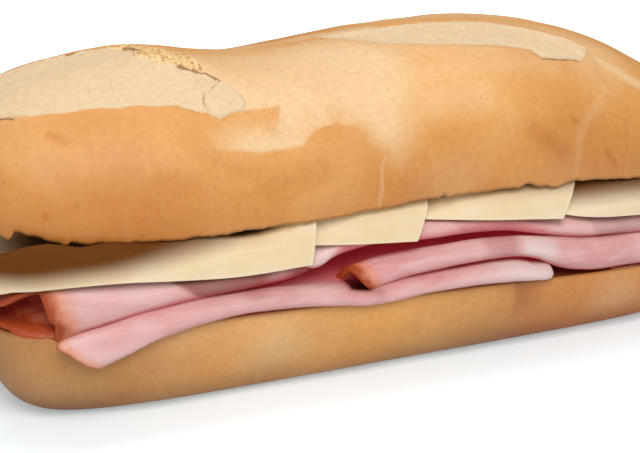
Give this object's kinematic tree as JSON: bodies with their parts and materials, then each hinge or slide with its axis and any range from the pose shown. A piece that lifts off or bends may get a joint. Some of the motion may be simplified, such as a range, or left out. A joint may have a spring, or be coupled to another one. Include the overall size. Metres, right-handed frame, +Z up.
{
  "type": "submarine sandwich",
  "caption": "Submarine sandwich: a long split bread roll with folded sliced ham and overlapping cheese slices showing along the open side.",
  "frame": {"origin": "on the flat base of the lower bread half, below the middle of the sandwich's length and width", "axes": "+X along the roll towards its right end as served, -Y towards the served front where the filling shows, +Z up"},
  "size_m": [0.2233, 0.084, 0.0863],
  "materials": {
    "bread_bottom": "baked crust, matte, greyer brown at the left end and oranger at the right",
    "bread_top": "baked crust, soft satin, with pale floury slashes and stretched pale skin between them",
    "ham": "moist cooked ham, pink, with an orange-brown smoked rim on the slices' own edges",
    "cheese": "smooth pale yellow sliced cheese, satin"
  },
  "bodies": {
    "root": {"bread_bottom": "bread_bottom", "ham_1": "ham", "ham_2": "ham", "ham_3": "ham", "ham_4": "ham", "cheese_1": "cheese", "cheese_2": "cheese", "cheese_3": "cheese", "cheese_4": "cheese", "bread_top": "bread_top"}
  },
  "joints": []
}
